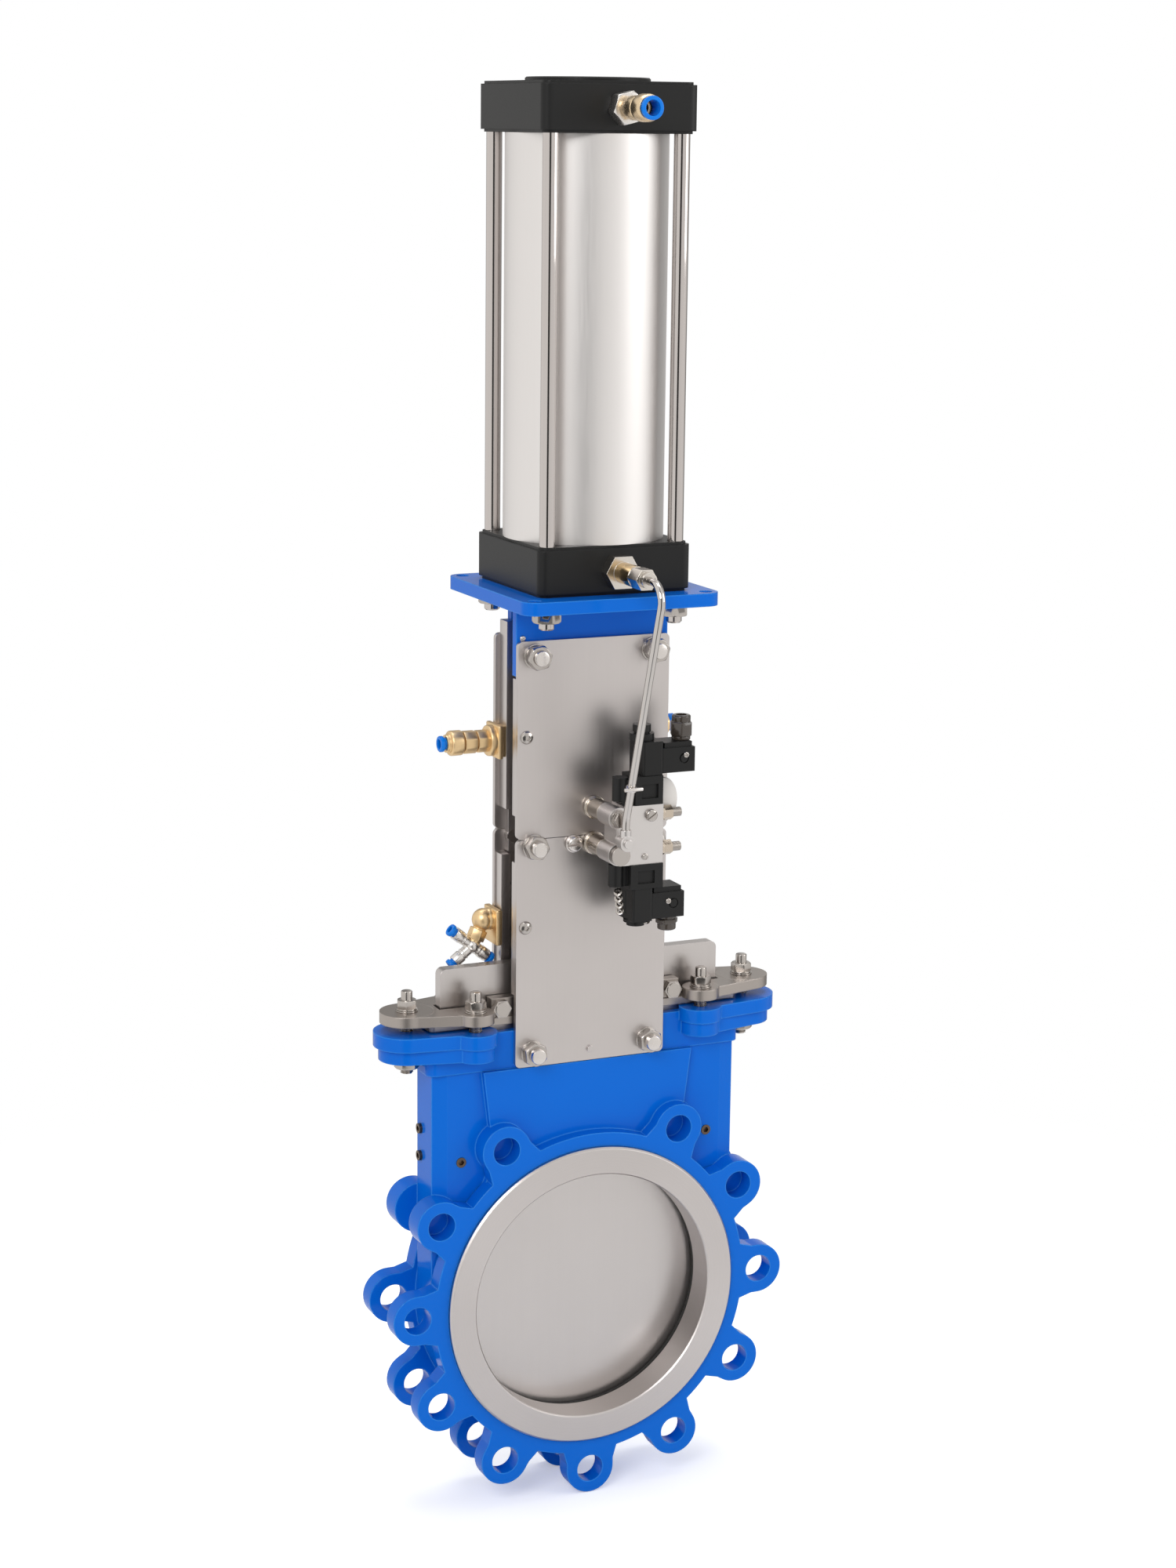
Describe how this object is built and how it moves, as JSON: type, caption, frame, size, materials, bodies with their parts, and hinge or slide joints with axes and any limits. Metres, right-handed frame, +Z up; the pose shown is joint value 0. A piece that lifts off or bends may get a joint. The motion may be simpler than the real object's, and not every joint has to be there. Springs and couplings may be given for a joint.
{
  "type": "knife_gate_valve",
  "caption": "Lugged wafer knife gate valve: cast body, stainless yoke plates, double-acting pneumatic cylinder and solenoid pilot valve; the blade slides up to open the bore",
  "frame": {"origin": "centre of the front sealing face of the bore", "axes": "+Y runs along the pipe from front to rear, +Z up along the gate's travel, +X to the right"},
  "size_m": [0.3388, 0.222, 1.1055],
  "materials": {
    "blue_enamel": "gloss",
    "stainless_steel": "satin",
    "bright_chrome": "polished",
    "nickel_plate": "satin",
    "anodised_aluminium": "satin",
    "valve_silver": "satin",
    "black_caps": "satin",
    "black_plastic": "matte",
    "brass": "satin",
    "blue_plastic": "gloss",
    "black_rubber": "matte",
    "packing_cord": "matte",
    "guide_plastic": "matte"
  },
  "bodies": {
    "frame": {"valve_body": "blue_enamel", "seat_rings": "stainless_steel", "seat_seals": "black_rubber", "gate_guides": "guide_plastic", "body_plugs": "stainless_steel", "packing_rings": "packing_cord", "packing_gland": "stainless_steel", "gland_clamp_left": "stainless_steel", "gland_clamp_right": "stainless_steel", "gland_studs": "stainless_steel", "gland_nuts": "stainless_steel", "gland_bar_screws": "stainless_steel", "yoke_plate_front_lower": "stainless_steel", "yoke_plate_front_upper": "stainless_steel", "yoke_plate_rear_lower": "stainless_steel", "yoke_plate_rear_upper": "stainless_steel", "yoke_splices": "stainless_steel", "yoke_rails": "stainless_steel", "yoke_studs": "stainless_steel", "yoke_nuts": "stainless_steel", "rail_screws": "stainless_steel", "actuator_bracket": "blue_enamel", "cylinder_cap_lower": "black_caps", "cylinder_cap_upper": "black_caps", "cylinder_tube": "anodised_aluminium", "cylinder_orings": "black_rubber", "tie_rods": "bright_chrome", "tie_rod_nuts": "stainless_steel", "rod_bush": "brass", "rod_seals": "black_rubber", "upper_port_fitting": "brass", "lower_port_fitting": "nickel_plate", "air_tube": "bright_chrome", "valve_standoffs": "stainless_steel", "valve_screws": "stainless_steel", "solenoid_valve_block": "valve_silver", "pilot_bases": "black_plastic", "solenoid_coils": "black_plastic", "coil_nuts": "black_plastic", "coil_connectors": "black_plastic", "cable_glands": "black_plastic", "exhaust_throttles": "nickel_plate", "side_ports_upper": "brass", "side_port_plug": "blue_plastic", "side_port_lower": "nickel_plate"},
    "gate": {"gate_blade": "stainless_steel", "gate_clevis": "stainless_steel", "clevis_locknut": "stainless_steel", "clevis_pin": "stainless_steel", "piston_rod": "bright_chrome", "piston": "anodised_aluminium", "piston_seals": "black_rubber", "piston_nut": "stainless_steel"},
    "upper_collet": {"upper_port_collet": "blue_plastic"},
    "side_collet": {"side_collet_upper": "blue_plastic"},
    "branch_left": {"side_collet_lower_left": "blue_plastic"},
    "branch_right": {"side_collet_lower_right": "blue_plastic"},
    "branch_side": {"side_collet_lower_branch": "blue_plastic"},
    "throttle_up": {"throttle_screw_upper": "nickel_plate"},
    "throttle_low": {"throttle_screw_lower": "nickel_plate"}
  },
  "joints": [
    {"name": "gate_travel", "type": "slide", "parent": "frame", "child": "gate", "axis": [0, 0, 1], "range_m": [0, 0.212]},
    {"name": "upper_collet_push", "type": "slide", "parent": "frame", "child": "upper_collet", "axis": [0, 1, 0], "range_m": [0, 0.0012], "stiffness_N_per_m": 400},
    {"name": "side_collet_push", "type": "slide", "parent": "frame", "child": "side_collet", "axis": [1, 0, 0], "range_m": [0, 0.0012], "stiffness_N_per_m": 400},
    {"name": "branch_left_push", "type": "slide", "parent": "frame", "child": "branch_left", "axis": [0.788, 0, -0.6157], "range_m": [0, 0.0012], "stiffness_N_per_m": 400},
    {"name": "branch_right_push", "type": "slide", "parent": "frame", "child": "branch_right", "axis": [-0.788, 0, 0.6157], "range_m": [0, 0.0012], "stiffness_N_per_m": 400},
    {"name": "branch_side_push", "type": "slide", "parent": "frame", "child": "branch_side", "axis": [0.788, 0, 0.6157], "range_m": [0, 0.0012], "stiffness_N_per_m": 400},
    {"name": "throttle_up_turn", "type": "hinge", "parent": "frame", "child": "throttle_up", "pos_m": [0.037, -0.024, 0.3925], "axis": [1, 0, 0], "range_deg": [0, 1080]},
    {"name": "throttle_low_turn", "type": "hinge", "parent": "frame", "child": "throttle_low", "pos_m": [0.037, -0.024, 0.3655], "axis": [1, 0, 0], "range_deg": [0, 1080]}
  ]
}
